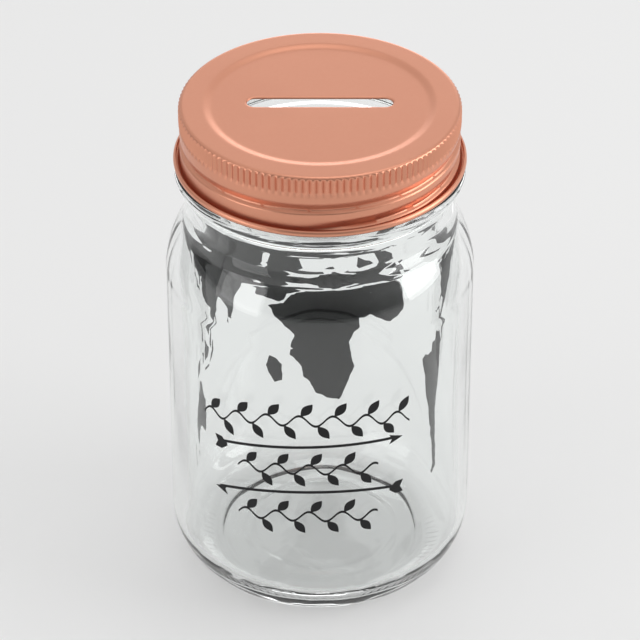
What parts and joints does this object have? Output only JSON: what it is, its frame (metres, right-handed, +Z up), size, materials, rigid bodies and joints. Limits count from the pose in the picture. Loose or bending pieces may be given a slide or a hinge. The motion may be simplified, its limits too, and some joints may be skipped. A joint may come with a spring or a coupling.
{
  "type": "coin bank jar",
  "caption": "Round glass jar money bank with a screw-on copper-coloured metal lid that has a coin slot, and a black world map and arrow print on the glass.",
  "frame": {"origin": "middle of the foot ring, on the surface that the jar stands on", "axes": "+Z up along the jar's axis, -Y towards the printed arrows at the front, coin slot along X"},
  "size_m": [0.08, 0.0802, 0.1376],
  "materials": {
    "glass": "clear pressed soda-lime glass, smooth and glossy, slightly uneven inside",
    "copper_lid": "satin copper-coloured lacquer on pressed tinplate",
    "liner": "off-white flowed-in sealing compound, matt",
    "black_ink": "opaque black screen-printed ink, satin"
  },
  "bodies": {
    "jar_body": {"jar": "glass", "map_print": "black_ink", "arrow_print_upper": "black_ink", "arrow_print_lower": "black_ink", "spray_print_upper": "black_ink", "spray_print_middle": "black_ink", "spray_print_lower": "black_ink"},
    "liner_body": {"lid_liner": "liner"},
    "lid_body": {"lid": "copper_lid"}
  },
  "joints": [
    {"name": "lid_rise", "type": "slide", "parent": "jar_body", "child": "liner_body", "axis": [0, 0, 1], "range_m": [0, 0.0179]},
    {"name": "lid_turn", "type": "hinge", "parent": "liner_body", "child": "lid_body", "pos_m": [0, 0, 0.13], "axis": [0, 0, 1], "range_deg": [0, 1260]}
  ],
  "couplings": [
    {"joint": "lid_rise", "follows": "lid_turn", "m_per_rad": 0.00080851}
  ]
}
